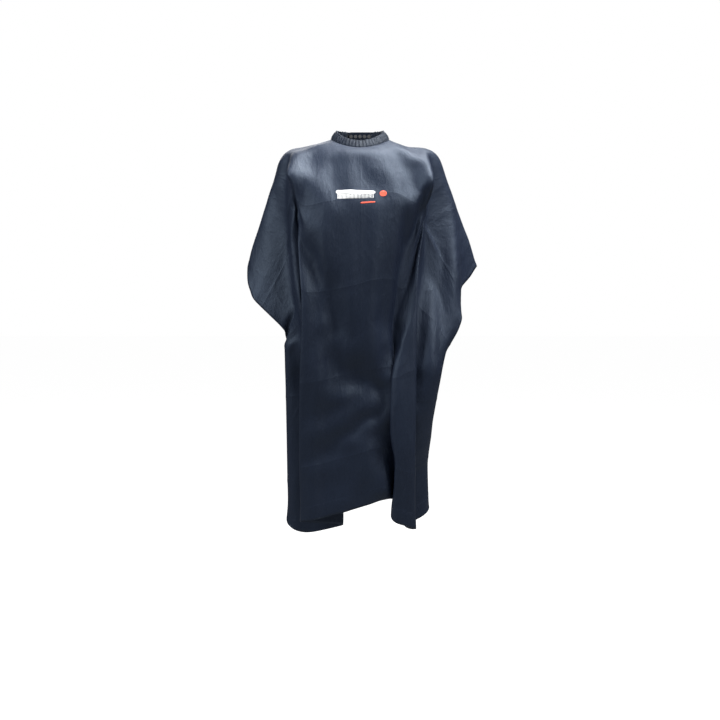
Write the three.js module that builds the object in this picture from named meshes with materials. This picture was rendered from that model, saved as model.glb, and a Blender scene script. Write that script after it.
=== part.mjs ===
// Barber cape: a coated nylon sheet gathered into an elastic neckband that closes at the nape with
// press studs. Millimetres, +Z up, +X to the wearer's left, front towards -Y. The origin is the
// centre of the neck opening.

import * as THREE from "three";

// ---- Driving dimensions (mm, degrees) ----

const GAP = 0.3; // clearance between pieces that lie on each other

// Neck opening
const NECK_HALF_WIDTH = 77;
const NECK_FRONT = 69; // from the origin to the front of the neck seam
const NECK_BACK = 60; // from the origin to the nape
const NECK_FRONT_LEVEL = -27; // height of the seam at the throat
const NECK_BACK_LEVEL = 8; // height of the seam at the sides and the nape
const NECK_RISE_END = 110; // the seam has risen to its back level this far round, from the front
const FRONT_ROUNDNESS = 2; // superellipse exponents: 2 is an ellipse, more is flatter
const BACK_ROUNDNESS = 3.2;

// Neckband
const BAND_HEIGHT = 26;
const BAND_LEAN = 35; // how far it leans in against the neck at the throat and the sides
const CLOTH = 1.2; // thickness of one doubled layer of the band and the tabs
const ELASTIC_MARGIN = 3; // from the elastic's edges to the band's

// Press studs
const SOCKET_COUNT = 5;
const STUD_SPACES = [2, 4]; // which sockets, counted from the tab's root, the two studs sit in
const SNAP_PITCH = 12.5;
const SNAP_RADIUS = 4.8;
const KNOB_RADIUS = 1.9;
const POST_RADIUS = 1.2;
const CAP_DOME = 1.3;
const PLATE = 0.4; // thickness of a stud's or a socket's flat base
const SOCKET_DEPTH = 1.0;
const TAB_MARGIN = 9; // from the last socket to the end of the band
const TAB_TIP_GAP = 3; // from a tab's tip to the far end of the band
const TAB_INSET = 1; // the tabs are this much lower than the band, above and below

// Sheet
const SHEET_REACH = 327; // from the middle to the tip of the cloth over an elbow
const RIGHT_ARM_SHARE = 0.936; // the wearer's right elbow is held in a little more
const SHEET_DROP = 1058; // from the origin down to the lowest corner
const FRONT_DEPTH = 172; // from the origin to the foremost fold
const BACK_DEPTH = 150; // from the origin to the cloth behind the elbows
const SHEET_WALL = 3;
const SEAM_DROP = 0.6; // the sheet's neck edge lies this far under the band
const FOLD_DEPTH = 9; // half the depth of the hanging folds at the hem
const COLUMNS_PER_LINE = 3;
const ROWS = 16;
const ROW_CROWDING = 1.35; // above 1, the rows lie closer together near the neck

// The lines along which one half of the sheet falls, from the front centre to the back slit.
// out: from the neck seam onto the shoulder, mm. over: where it breaks over the body, mm.
// fall and hem: shares of the reach, of the depth (front if negative, back if not) and of the drop.
const FALL_LINES = [
  { out: [0, -38, -42], over: [0, -150, -160], fall: [0, -0.92, -0.52], hem: [0, -0.87, -0.935] },
  { out: [12, -36, -40], over: [70, -152, -165], fall: [0.28, -0.96, -0.52], hem: [0.28, -0.95, -0.955] },
  { out: [27, -30, -36], over: [125, -138, -165], fall: [0.53, -0.7, -0.52], hem: [0.565, -0.25, -1.0] },
  { out: [36, -24, -30], over: [150, -115, -155], fall: [0.575, -0.6, -0.48], hem: [0.58, 0.12, -0.83] },
  { out: [44, -17, -24], over: [172, -88, -125], fall: [0.66, -0.5, -0.35], hem: [0.58, 0.2, -0.61] },
  { out: [48, -10, -16], over: [190, -48, -85], fall: [0.79, -0.24, -0.26], hem: [0.82, 0.1, -0.475] },
  { out: [48, 5, -8], over: [200, 10, -62], fall: [0.85, 0.1, -0.225], hem: [0.95, 0.2, -0.385] },
  { out: [44, 18, -8], over: [194, 50, -66], fall: [0.85, 0.5, -0.215], hem: [0.99, 0.52, -0.345] },
  { out: [36, 30, -8], over: [176, 78, -60], fall: [0.76, 0.8, -0.2], hem: [0.93, 0.8, -0.32] },
  { out: [22, 36, -10], over: [128, 108, -56], fall: [0.52, 0.93, -0.175], hem: [0.56, 1.0, -0.3] },
  { out: [8, 36, -12], over: [72, 118, -62], fall: [0.27, 0.97, -0.165], hem: [0.3, 1.0, -0.275] },
  { out: [2, 34, -16], over: [40, 116, -70], fall: [0.14, 0.93, -0.16], hem: [0.15, 0.96, -0.26] },
];

// Print on the chest: a plain comb with an accent
const PRINT_CELL = 3.8;
const PRINT_FILM = 0.3;
const PRINT_LEFT = -63;
const PRINT_TOP = -146;
const COMB_CELLS = 27; // length of the comb, an odd number of cells
const COMB_SPINE_CELLS = 2;
const COMB_TOOTH_CELLS = 4;
const BAR_CELLS = 10;
const BAR_DROP_CELLS = 8; // from the print's top to the accent bar
const DISC_CELLS = 5;
const DISC_SPACE_CELLS = 3;

// Care label
const LABEL_WIDTH = 16;
const LABEL_LENGTH = 30;
const LABEL_CLOTH = 0.5;
const LABEL_ANGLE = 154; // round the neck from the front
const LABEL_TUCK = 7; // how far it reaches up behind the band
const LABEL_SEARCH = 20; // the band's curve is followed this far to each side of it, degrees

const LATHE_STEPS = 14;
const BAND_STEPS = 22; // along each half of the band

// ---- Sizes worked out from them ----

const SNAP_ROOM = 3 * GAP + 2 * PLATE + SOCKET_DEPTH; // between the closed tabs
const BAND_THICKNESS = 2 * CLOTH + SNAP_ROOM;
const CLOSURE_HALF = ((SOCKET_COUNT - 1) * SNAP_PITCH) / 2 + TAB_MARGIN;
const BAND_END = 180 - THREE.MathUtils.radToDeg(
  Math.asin((CLOSURE_HALF / NECK_HALF_WIDTH) ** (BACK_ROUNDNESS / 2)));

// ---- Materials ----

const finish = (color, roughness, metalness = 0) =>
  new THREE.MeshStandardMaterial({ color, roughness, metalness });
const nylon = finish(0x2a3140, 0.42);
const bandNylon = finish(0x1d2330, 0.5);
const elasticKnit = finish(0x15181f, 0.85);
const nickel = finish(0xb9bcc0, 0.25, 1);
const whiteInk = finish(0xf2f2f0, 0.6);
const coralInk = finish(0xe8553f, 0.6);
const labelSatin = finish(0xe9e9e6, 0.55);

const cape = new THREE.Group();
cape.name = "barber_cape";

function addPiece(name, geometry, material, parent = cape) {
  const mesh = new THREE.Mesh(geometry, material);
  mesh.name = name;
  parent.add(mesh);
  return mesh;
}

// ---- Closed bodies from lists of points and faces ----

function signedVolume(points, faces) {
  return faces.reduce((sum, [a, b, c]) =>
    sum + points[a].dot(new THREE.Vector3().crossVectors(points[b], points[c])) / 6, 0);
}

function bodyFrom(points, faces) {
  const outward = signedVolume(points, faces) > 0 ? faces : faces.map(([a, b, c]) => [a, c, b]);
  const geometry = new THREE.BufferGeometry().setFromPoints(points);
  geometry.setIndex(outward.flat());
  geometry.computeVertexNormals();
  return geometry;
}

// A wall between two matching grids of points, with its four edges closed.
function wallBetween(outer, inner) {
  const rows = outer.length;
  const columns = outer[0].length;
  const points = [...outer.flat(), ...inner.flat()];
  const at = (skin, row, column) => skin * rows * columns + row * columns + column;
  const faces = [];
  const quad = (a, b, c, d) => faces.push([a, b, c], [a, c, d]);
  for (let row = 0; row < rows - 1; row++) {
    for (let column = 0; column < columns - 1; column++) {
      quad(at(0, row, column), at(0, row, column + 1), at(0, row + 1, column + 1), at(0, row + 1, column));
      quad(at(1, row, column), at(1, row + 1, column), at(1, row + 1, column + 1), at(1, row, column + 1));
    }
  }
  for (let column = 0; column < columns - 1; column++) {
    quad(at(0, 0, column), at(1, 0, column), at(1, 0, column + 1), at(0, 0, column + 1));
    quad(at(0, rows - 1, column), at(0, rows - 1, column + 1),
      at(1, rows - 1, column + 1), at(1, rows - 1, column));
  }
  for (let row = 0; row < rows - 1; row++) {
    quad(at(0, row, 0), at(0, row + 1, 0), at(1, row + 1, 0), at(1, row, 0));
    quad(at(0, row, columns - 1), at(1, row, columns - 1),
      at(1, row + 1, columns - 1), at(0, row + 1, columns - 1));
  }
  return bodyFrom(points, faces);
}

// An outline in each frame's own plane, carried along the frames, with both ends closed.
function sweep(frames, outline) {
  const count = outline.length;
  const points = frames.flatMap(({ seam, across, up }) =>
    outline.map(([x, y]) => seam.clone().addScaledVector(across, x).addScaledVector(up, y)));
  const faces = [];
  for (let step = 0; step < frames.length - 1; step++) {
    for (let i = 0; i < count; i++) {
      const a = step * count + i;
      const b = step * count + ((i + 1) % count);
      faces.push([a, a + count, b + count], [a, b + count, b]);
    }
  }
  const flatOutline = outline.map(([x, y]) => new THREE.Vector2(x, y));
  const last = (frames.length - 1) * count;
  const clockwise = THREE.ShapeUtils.isClockWise(flatOutline);
  for (const [a, b, c] of THREE.ShapeUtils.triangulateShape(flatOutline, [])) {
    faces.push(clockwise ? [a, c, b] : [a, b, c]);
    faces.push(clockwise ? [last + a, last + b, last + c] : [last + a, last + c, last + b]);
  }
  return bodyFrom(points, faces);
}

// ---- The neck seam and the frames that stand on it ----

function signedPower(value, power) {
  return Math.sign(value) * Math.abs(value) ** power;
}

// The seam at an angle round the neck: 0 at the throat, positive towards +X.
function neckSeam(degrees) {
  const angle = THREE.MathUtils.degToRad(degrees);
  const front = Math.cos(angle) > 0;
  const power = 2 / (front ? FRONT_ROUNDNESS : BACK_ROUNDNESS);
  const rise = THREE.MathUtils.smoothstep(Math.abs(degrees), 0, NECK_RISE_END);
  return new THREE.Vector3(
    NECK_HALF_WIDTH * signedPower(Math.sin(angle), power),
    -(front ? NECK_FRONT : NECK_BACK) * signedPower(Math.cos(angle), power),
    THREE.MathUtils.lerp(NECK_FRONT_LEVEL, NECK_BACK_LEVEL, rise));
}

function bandFrame(degrees) {
  const seam = neckSeam(degrees);
  const straighten = THREE.MathUtils.smoothstep(Math.abs(degrees), 90, BAND_END);
  const along = neckSeam(degrees + 0.5).sub(neckSeam(degrees - 0.5));
  const outwards = new THREE.Vector3(along.y, -along.x, 0).normalize()
    .lerp(new THREE.Vector3(0, 1, 0), straighten ** 3).normalize();
  const lean = THREE.MathUtils.degToRad(BAND_LEAN * (1 - straighten));
  const vertical = new THREE.Vector3(0, 0, 1);
  return {
    seam,
    across: outwards.clone().multiplyScalar(Math.cos(lean)).addScaledVector(vertical, Math.sin(lean)),
    up: vertical.multiplyScalar(Math.cos(lean)).addScaledVector(outwards, -Math.sin(lean)),
  };
}

const bandFrames = Array.from({ length: 2 * BAND_STEPS + 1 },
  (_, step) => bandFrame(BAND_END * (step / BAND_STEPS - 1)));

// ---- Neckband: a strip folded over the elastic, open along the seam ----

function addNeckband() {
  const outer = BAND_THICKNESS / 2;
  const inner = outer - CLOTH;
  const top = BAND_HEIGHT;
  addPiece("neckband", sweep(bandFrames, [
    [-outer, 0], [-inner, 0], [-inner, top - CLOTH], [inner, top - CLOTH], [inner, 0], [outer, 0],
    [outer, top - CLOTH], [inner, top], [-inner, top], [-outer, top - CLOTH],
  ]), bandNylon);
  const half = inner - GAP;
  addPiece("neck_elastic", sweep(bandFrames, [
    [-half, ELASTIC_MARGIN], [-half, top - ELASTIC_MARGIN],
    [half, top - ELASTIC_MARGIN], [half, ELASTIC_MARGIN],
  ]), elasticKnit);
}

// ---- Closure: the tab with its studs closes over the tab with the sockets ----

const napeY = neckSeam(BAND_END).y;
const underFace = napeY - BAND_THICKNESS / 2 + CLOTH; // outer face of the tab with the sockets
const tabFace = napeY + BAND_THICKNESS / 2 - CLOTH; // inner face of the tab with the studs
const snapLevel = NECK_BACK_LEVEL + BAND_HEIGHT / 2;
const socketX = (index) => (index - (SOCKET_COUNT - 1) / 2) * SNAP_PITCH;

// A strip from its root to a round tip, with a hole for each post, standing in the XZ plane.
function tabGeometry(rootX, tipX, holes, backY) {
  const halfHeight = BAND_HEIGHT / 2 - TAB_INSET;
  const side = Math.sign(tipX - rootX);
  const corner = halfHeight / 2;
  const shape = new THREE.Shape();
  shape.moveTo(rootX, -halfHeight);
  shape.lineTo(tipX - side * corner, -halfHeight);
  shape.quadraticCurveTo(tipX, -halfHeight, tipX, -halfHeight + corner);
  shape.lineTo(tipX, halfHeight - corner);
  shape.quadraticCurveTo(tipX, halfHeight, tipX - side * corner, halfHeight);
  shape.lineTo(rootX, halfHeight);
  for (const x of holes) {
    shape.holes.push(new THREE.Path().absarc(x, 0, POST_RADIUS + GAP, 0, 2 * Math.PI, side > 0));
  }
  const geometry = new THREE.ExtrudeGeometry(shape, { depth: CLOTH, bevelEnabled: false, curveSegments: 5 });
  geometry.rotateX(Math.PI / 2);
  return geometry.translate(0, backY + CLOTH, snapLevel);
}

// Snap parts turn about their own Y axis: outwards from the nape is +Y.
function turned(profile) {
  return new THREE.LatheGeometry(profile.map(([r, y]) => new THREE.Vector2(r, y)), LATHE_STEPS);
}

function addSnapPart(name, profile, x, y) {
  addPiece(name, turned(profile), nickel).position.set(x, y, snapLevel);
}

function addClosure() {
  const sockets = Array.from({ length: SOCKET_COUNT }, (_, index) => socketX(index));
  const studs = STUD_SPACES.map((space) => socketX(space));
  const root = CLOSURE_HALF - GAP;
  const tip = CLOSURE_HALF - TAB_TIP_GAP;
  addPiece("under_tab", tabGeometry(root, -tip, sockets, underFace - CLOTH), bandNylon);
  addPiece("closure_tab", tabGeometry(-root, tip, studs, tabFace), bandNylon);

  const bore = KNOB_RADIUS + GAP;
  const cup = PLATE + SOCKET_DEPTH;
  const postReach = CLOTH + GAP; // through the tab and just short of the part on its other face
  sockets.forEach((x, index) => {
    addSnapPart(`socket_${index + 1}`, [
      [0, 0], [SNAP_RADIUS, 0], [SNAP_RADIUS, cup - PLATE], [SNAP_RADIUS - PLATE, cup],
      [bore, cup], [bore, PLATE], [0, PLATE],
    ], x, underFace + GAP);
    addSnapPart(`socket_post_${index + 1}`, [
      [0, -PLATE], [SNAP_RADIUS, -PLATE], [SNAP_RADIUS, 0], [POST_RADIUS, 0],
      [POST_RADIUS, postReach], [0, postReach],
    ], x, underFace - CLOTH - GAP);
  });
  studs.forEach((x, index) => {
    addSnapPart(`stud_${index + 1}`, [
      [0, -PLATE - SOCKET_DEPTH], [KNOB_RADIUS, -PLATE - SOCKET_DEPTH],
      [KNOB_RADIUS, -PLATE], [SNAP_RADIUS, -PLATE], [SNAP_RADIUS, 0], [0, 0],
    ], x, tabFace - GAP);
    addSnapPart(`stud_cap_${index + 1}`, [
      [0, -postReach], [POST_RADIUS, -postReach], [POST_RADIUS, 0], [SNAP_RADIUS, 0],
      [SNAP_RADIUS, PLATE], [SNAP_RADIUS * 0.75, CAP_DOME * 0.75], [0, CAP_DOME],
    ], x, tabFace + CLOTH + GAP);
  });
}

// ---- Sheet ----

function fallLine(line, index, side) {
  const share = side < 0 ? RIGHT_ARM_SHARE : 1;
  const place = ([x, y, z]) => new THREE.Vector3(
    side * share * x * SHEET_REACH, y * (y < 0 ? FRONT_DEPTH : BACK_DEPTH), z * SHEET_DROP);
  const seam = neckSeam((side * BAND_END * index) / (FALL_LINES.length - 1));
  seam.z -= SEAM_DROP;
  const [outX, outY, outZ] = line.out;
  const [overX, overY, overZ] = line.over;
  return new THREE.CatmullRomCurve3([
    seam,
    seam.clone().add(new THREE.Vector3(side * outX, outY, outZ)),
    new THREE.Vector3(side * overX, overY, overZ),
    place(line.fall),
    place(line.hem),
  ]);
}

function sheetMiddle() {
  const mirrored = FALL_LINES.slice(1).map((line, index) => fallLine(line, index + 1, -1)).reverse();
  const lines = [...mirrored, ...FALL_LINES.map((line, index) => fallLine(line, index, 1))];
  const columns = (lines.length - 1) * COLUMNS_PER_LINE + 1;
  const grid = [];
  for (let row = 0; row <= ROWS; row++) {
    const down = (row / ROWS) ** ROW_CROWDING;
    const level = new THREE.CatmullRomCurve3(lines.map((line) => line.getPointAt(down)));
    grid.push(Array.from({ length: columns }, (_, column) => level.getPoint(column / (columns - 1))));
  }
  return grid;
}

function gridNormals(grid) {
  const rows = grid.length - 1;
  const columns = grid[0].length - 1;
  return grid.map((line, row) => line.map((_, column) => {
    const down = grid[Math.min(row + 1, rows)][column].clone().sub(grid[Math.max(row - 1, 0)][column]);
    const along = line[Math.min(column + 1, columns)].clone().sub(line[Math.max(column - 1, 0)]);
    return along.cross(down).normalize().negate();
  }));
}

// The hanging folds grow from nothing at the shoulders to their full depth at the hem.
function withFolds(grid) {
  const normals = gridNormals(grid);
  const period = 2 * COLUMNS_PER_LINE;
  const middle = (grid[0].length - 1) / 2;
  return grid.map((line, row) => line.map((point, column) => {
    const depth = FOLD_DEPTH * (row / (grid.length - 1)) ** 2;
    const wave = Math.cos((2 * Math.PI * (column - middle)) / period);
    return point.clone().addScaledVector(normals[row][column], depth * wave);
  }));
}

const outerSkin = withFolds(sheetMiddle());

function addSheet() {
  const normals = gridNormals(outerSkin);
  const innerSkin = outerSkin.map((line, row) =>
    line.map((point, column) => point.clone().addScaledVector(normals[row][column], -SHEET_WALL)));
  addPiece("cape_sheet", wallBetween(outerSkin, innerSkin), nylon);
}

// ---- Print: thin films that follow the chest ----

// How far forward the sheet's outer skin lies at a place on the chest.
function chestY(x, z) {
  let foremost = Infinity;
  const corner = new THREE.Triangle();
  const weights = new THREE.Vector3();
  for (let row = 0; row < outerSkin.length - 1; row++) {
    for (let column = 0; column < outerSkin[0].length - 1; column++) {
      const a = outerSkin[row][column];
      const b = outerSkin[row][column + 1];
      const c = outerSkin[row + 1][column + 1];
      const d = outerSkin[row + 1][column];
      for (const [p, q, r] of [[a, b, c], [a, c, d]]) {
        corner.set(...[p, q, r].map((v) => new THREE.Vector3(v.x, 0, v.z)));
        const found = corner.getBarycoord(new THREE.Vector3(x, 0, z), weights);
        if (found && Math.min(weights.x, weights.y, weights.z) >= -1e-6) {
          foremost = Math.min(foremost, weights.x * p.y + weights.y * q.y + weights.z * r.y);
        }
      }
    }
  }
  return foremost;
}

// A film made of square cells, given as [column, row] pairs from the print's top left corner.
function addFilm(name, cells, material) {
  const points = [];
  const numbers = new Map();
  const corner = (column, row, skin) => {
    const key = `${column},${row},${skin}`;
    if (!numbers.has(key)) {
      const x = PRINT_LEFT + column * PRINT_CELL;
      const z = PRINT_TOP - row * PRINT_CELL;
      numbers.set(key, points.length);
      points.push(new THREE.Vector3(x, chestY(x, z) - GAP - skin * PRINT_FILM, z));
    }
    return numbers.get(key);
  };
  const filled = new Set(cells.map(([column, row]) => `${column},${row}`));
  const faces = [];
  const quad = (a, b, c, d) => faces.push([a, b, c], [a, c, d]);
  for (const [column, row] of cells) {
    const ring = [[column, row], [column + 1, row], [column + 1, row + 1], [column, row + 1]];
    quad(...ring.map(([i, j]) => corner(i, j, 0)));
    quad(...ring.map(([i, j]) => corner(i, j, 1)).reverse());
    const beside = [[column, row - 1], [column + 1, row], [column, row + 1], [column - 1, row]];
    beside.forEach(([i, j], edge) => {
      if (!filled.has(`${i},${j}`)) {
        const from = ring[edge];
        const to = ring[(edge + 1) % 4];
        quad(corner(...to, 0), corner(...from, 0), corner(...from, 1), corner(...to, 1));
      }
    });
  }
  addPiece(name, bodyFrom(points, faces), material);
}

function block(left, top, columns, rows) {
  return Array.from({ length: columns * rows },
    (_, i) => [left + (i % columns), top + Math.floor(i / columns)]);
}

function addPrint() {
  const comb = block(0, 0, COMB_CELLS, COMB_SPINE_CELLS);
  for (let tooth = 0; tooth < COMB_CELLS; tooth += 2) {
    comb.push(...block(tooth, COMB_SPINE_CELLS, 1, COMB_TOOTH_CELLS));
  }
  addFilm("print_comb", comb, whiteInk);
  addFilm("print_bar", block(COMB_CELLS - BAR_CELLS, BAR_DROP_CELLS, BAR_CELLS, 1), coralInk);
  const disc = block(0, 0, DISC_CELLS, DISC_CELLS).filter(([column, row]) =>
    Math.hypot(column + 0.5 - DISC_CELLS / 2, row + 0.5 - DISC_CELLS / 2) < DISC_CELLS / 2);
  const discLeft = COMB_CELLS + DISC_SPACE_CELLS;
  addFilm("print_disc", disc.map(([column, row]) => [column + discLeft, row]), coralInk);
}

// ---- Care label: sewn inside the band at the back, hanging from it ----

function addLabel() {
  const { seam, across } = bandFrame(LABEL_ANGLE);
  const vertical = new THREE.Vector3(0, 0, 1);
  const outwards = new THREE.Vector3(across.x, across.y, 0).normalize();
  const along = new THREE.Vector3().crossVectors(outwards, vertical);
  const offsets = Array.from({ length: 2 * LABEL_SEARCH + 1 },
    (_, step) => bandFrame(LABEL_ANGLE - LABEL_SEARCH + step))
    .map((frame) => frame.seam.addScaledVector(frame.up, LABEL_TUCK)
      .addScaledVector(frame.across, -BAND_THICKNESS / 2).sub(seam))
    .filter((offset) => Math.abs(offset.dot(along)) < LABEL_WIDTH / 2 + GAP);
  const inwards = Math.max(...offsets.map((offset) => -offset.dot(outwards)));
  const label = addPiece("care_label",
    new THREE.BoxGeometry(LABEL_WIDTH, LABEL_CLOTH, LABEL_LENGTH), labelSatin);
  label.setRotationFromMatrix(new THREE.Matrix4().makeBasis(along, outwards, vertical));
  label.position.copy(seam)
    .addScaledVector(outwards, -inwards - GAP - LABEL_CLOTH / 2)
    .addScaledVector(vertical, LABEL_TUCK - LABEL_LENGTH / 2);
}

addSheet();
addNeckband();
addClosure();
addPrint();
addLabel();

export default cape;
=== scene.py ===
import math

import bpy
import numpy as np
from bpy.props import (FloatProperty, FloatVectorProperty, IntProperty,
                       PointerProperty)
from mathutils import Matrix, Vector, noise
from mathutils.bvhtree import BVHTree
from mathutils.geometry import barycentric_transform


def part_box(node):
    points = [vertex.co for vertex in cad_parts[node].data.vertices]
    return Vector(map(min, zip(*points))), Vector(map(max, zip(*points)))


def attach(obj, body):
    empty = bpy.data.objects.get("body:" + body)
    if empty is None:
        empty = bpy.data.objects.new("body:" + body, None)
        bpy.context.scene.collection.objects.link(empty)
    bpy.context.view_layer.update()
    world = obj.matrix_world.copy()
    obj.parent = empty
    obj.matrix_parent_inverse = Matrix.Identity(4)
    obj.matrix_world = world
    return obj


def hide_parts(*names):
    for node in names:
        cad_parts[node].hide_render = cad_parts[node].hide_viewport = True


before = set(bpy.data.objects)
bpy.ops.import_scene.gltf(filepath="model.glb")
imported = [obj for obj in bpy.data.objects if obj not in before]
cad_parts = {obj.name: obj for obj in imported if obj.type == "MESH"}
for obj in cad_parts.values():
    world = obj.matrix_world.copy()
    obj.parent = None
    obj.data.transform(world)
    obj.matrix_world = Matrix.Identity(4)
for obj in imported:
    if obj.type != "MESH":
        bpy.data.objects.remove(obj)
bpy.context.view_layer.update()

bl_info = {
    "name": "Barber cape",
    "version": (1, 0, 0),
    "blender": (4, 5, 0),
    "location": "View3D > Sidebar > Barber cape",
    "description": "Drapes and finishes a gathered-neck barber cape",
    "category": "Object",
}

MM = 0.001

# ---- Neck seam and form, in millimetres ----

NECK_HALF_WIDTH = 77
NECK_FRONT, NECK_BACK = 69, 60
NECK_FRONT_LEVEL, NECK_BACK_LEVEL = -27, 8
NECK_RISE_END = 110
FRONT_ROUNDNESS, BACK_ROUNDNESS = 2, 3.2
BAND_END = 164.3
BAND_LEAN = 35

# height, half width, half depth, forward shift of the form that the cape is draped over
TORSO = [
    (40, 50, 50, 0), (0, 56, 54, 0), (-12, 92, 62, 2), (-30, 140, 72, 6), (-48, 182, 78, 8),
    (-75, 200, 84, 8), (-110, 186, 98, 0), (-150, 168, 120, -12), (-185, 160, 136, -20),
    (-225, 150, 124, -12), (-290, 134, 100, 0), (-380, 122, 88, 4), (-460, 134, 96, 6),
    (-560, 156, 96, 14), (-640, 164, 98, 18), (-720, 164, 94, 18), (-800, 156, 86, 14),
]
BUST = [(-72, -88, -185, 62), (82, -88, -185, 62)]
ARMS = {  # shoulder, elbow, wrist, hand
    -1: [(-168, 8, -74), (-252, 46, -330), (-214, -10, -540), (-214, -20, -690)],
    1: [(168, 8, -74), (272, 46, -330), (236, -10, -560), (226, -20, -710)],
}
ARM_RADII = [50, 40, 28, 34]

# ---- How the cape is arranged on the form, in millimetres ----
# Plan of the pleats below the waist, from the middle of the front outwards.
PLEATS = {
    -1: [(0, -150), (162, -150), (170, -138), (60, -124), (36, -114), (60, -104), (190, -88),
         (202, -66), (192, -36)],
    1: [(0, -152), (40, -152), (104, -126), (108, -122), (100, -120), (78, -132), (76, -148),
        (84, -166), (146, -164), (154, -156), (112, -118), (108, -110), (120, -102), (176, -84),
        (188, -60), (180, -36)],
}
# Where the side edge hangs: distance along it in front of the shoulder line, then its place.
SIDE_EDGES = {
    -1: [(-320, 186, 128, -520), (-220, 232, 106, -440), (-110, 286, 84, -372),
         (-40, 318, 50, -343), (0, 321, 10, -341),
         (90, 315, -25, -398), (170, 300, -58, -438), (280, 246, -92, -476),
         (380, 196, -100, -505), (450, 184, -85, -530), (560, 187, -60, -575),
         (660, 190, -44, -655)],
    1: [(-320, 220, 128, -540), (-220, 252, 106, -448), (-110, 296, 84, -378),
        (-40, 322, 56, -350), (0, 325, 30, -348),
        (70, 305, 0, -385), (150, 272, -40, -410), (220, 272, -65, -440), (310, 282, -80, -490),
        (380, 268, -92, -521), (460, 235, -100, -552), (560, 204, -95, -590),
        (620, 196, -80, -630), (680, 182, -60, -680)],
}
# How low the hem hangs, by distance from the middle of the front.
HEM_LEVELS = {
    -1: [(0, -974), (34, -982), (108, -1000), (150, -1007), (301, -1024), (360, -1038),
         (418, -1051), (530, -1060)],
    1: [(0, -974), (40, -960), (100, -960), (182, -1007), (279, -1033), (351, -1022),
        (448, -980), (530, -962)],
}
ARM_REACH = {-1: 106, 1: 125}   # how far out the sleeve edge is carried from the shoulder
# Where the cape was folded for its packet, in metres on the flat sheet.
PACKING_ROWS = (-0.225, -0.455, -0.690, -0.915)
PACKING_COLUMNS = (-0.265, 0.0, 0.265)
# Long soft folds down the front, in metres: across at the chest, across at the hem, height, width.
HANGING_FOLDS = ((-0.088, -0.128, 0.0075, 0.020), (-0.020, -0.046, 0.0030, 0.016),
                 (0.042, 0.020, 0.0036, 0.018), (0.112, 0.070, 0.0060, 0.020))
SHOULDER = 200                  # half width of the shoulders
SLEEVE = 360                    # length of cloth from the shoulder to the elbow
CHEST = 150                     # distance from the neck to where the front starts to hang
NAPE = 110                      # distance from the neck to where the back starts to hang
CHEST_DROP = 60                 # how much lower the chest lies than the shoulders
FORM_GAP = 12                   # space left between the form and the cloth laid over it
EDGE_WIDTH = 30                 # width of the strip that is held along the side edges
EDGE_RELEASE = 250              # length over which a side edge joins its pleat
FORM_CELL = 0.012               # cell of the form's mesh, in metres
CLOTH_CELL = 0.02               # cell whose mass the cloth's settings are chosen for, in metres
CONTACT = 0.004                 # distance kept between layers of cloth, in metres
FULLEST, FULLEST_GIVE = 0.160, 0.015    # how far forward folds may stand, and past that, in metres
HEM_STEP = 0.0015               # half width of the step at a hem's inner edge, in metres
HEM_TURN = 0.085                # radius of the hem stitching at the front corners, in metres


def smooth(low, high, value):
    share = min(max((value - low) / (high - low), 0), 1)
    return share * share * (3 - 2 * share)


# ---- Sizes and colours that a user would change ----

def metres(name, description, default):
    return FloatProperty(name=name, description=description, default=default, unit="LENGTH")


def plain_number(name, description, default):
    return FloatProperty(name=name, description=description, default=default)


def whole_number(name, description, default):
    return IntProperty(name=name, description=description, default=default)


def shade(name, *color):
    return FloatVectorProperty(name=name, description=f"Colour of the {name.lower()}",
                               default=color, subtype="COLOR", size=3, min=0, max=1)


class CapeCut(bpy.types.PropertyGroup):
    width: metres("Width", "Width of the sheet laid flat", 1.06)
    front: metres("Front length", "Neck centre to front hem", 1.06)
    back: metres("Back length", "Neck centre to back hem", 0.32)
    front_corner: metres("Front corners", "Radius of the front corners", 0.12)
    back_corner: metres("Back corners", "Radius of the back corners", 0.18)
    neck: metres("Neck radius", "Radius of the neck hole", 0.084)
    step: metres("Grid step", "Size of a simulated cell", 0.026)
    front_hem: metres("Front hem", "Depth of the front hem", 0.038)
    side_hem: metres("Side hem", "Depth of the side and back hems", 0.012)
    cloth: metres("Cloth", "Shown thickness of the cloth", 0.0009)


class CapeDrape(bpy.types.PropertyGroup):
    frames: whole_number("Frames", "Length of the drape", 60)
    air: plain_number("Air", "Air damping", 2.0)
    stiffness: plain_number("Bending", "Bending stiffness", 1.0)
    hem_hold: plain_number("Hem hold", "How firmly the pleats are held", 0.3)
    edge_hold: plain_number("Edge hold", "How firmly the side edge is held", 0.3)


class CapeNeckband(bpy.types.PropertyGroup):
    height: metres("Height", "Height of the neckband", 0.026)
    thickness: metres("Thickness", "Thickness with its elastic", 0.0051)
    gathers: whole_number("Gathers", "Number of gathers round the neck", 50)
    gather_depth: metres("Gather depth", "Height of a gather", 0.0028)
    stitch: metres("Stitch", "Length of one stitch", 0.0034)


class CapeFinishes(bpy.types.PropertyGroup):
    nylon: shade("Nylon", 0.0048, 0.0082, 0.0210)
    band: shade("Band", 0.0036, 0.0054, 0.0120)
    thread: shade("Thread", 0.012, 0.017, 0.032)
    elastic: shade("Elastic", 0.012, 0.013, 0.016)
    nickel: shade("Nickel", 0.62, 0.63, 0.64)
    white_ink: shade("White ink", 0.86, 0.86, 0.85)
    coral_ink: shade("Coral ink", 0.78, 0.11, 0.06)
    satin: shade("Satin", 0.78, 0.78, 0.76)
    weave: metres("Weave", "Spacing of the threads", 0.0008)


class CapeStudio(bpy.types.PropertyGroup):
    distance: metres("Distance", "Camera distance", 3.0)
    camera_height: metres("Camera height", "Camera above the neck", -0.43)
    aim_height: metres("Aim height", "Point the camera looks at", -0.597)
    lens: plain_number("Lens", "Focal length in millimetres", 54.5)
    surround: plain_number("Surround", "Light from the white surround", 0.06)
    floor: metres("Floor", "Height of the floor", -1.53)


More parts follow.
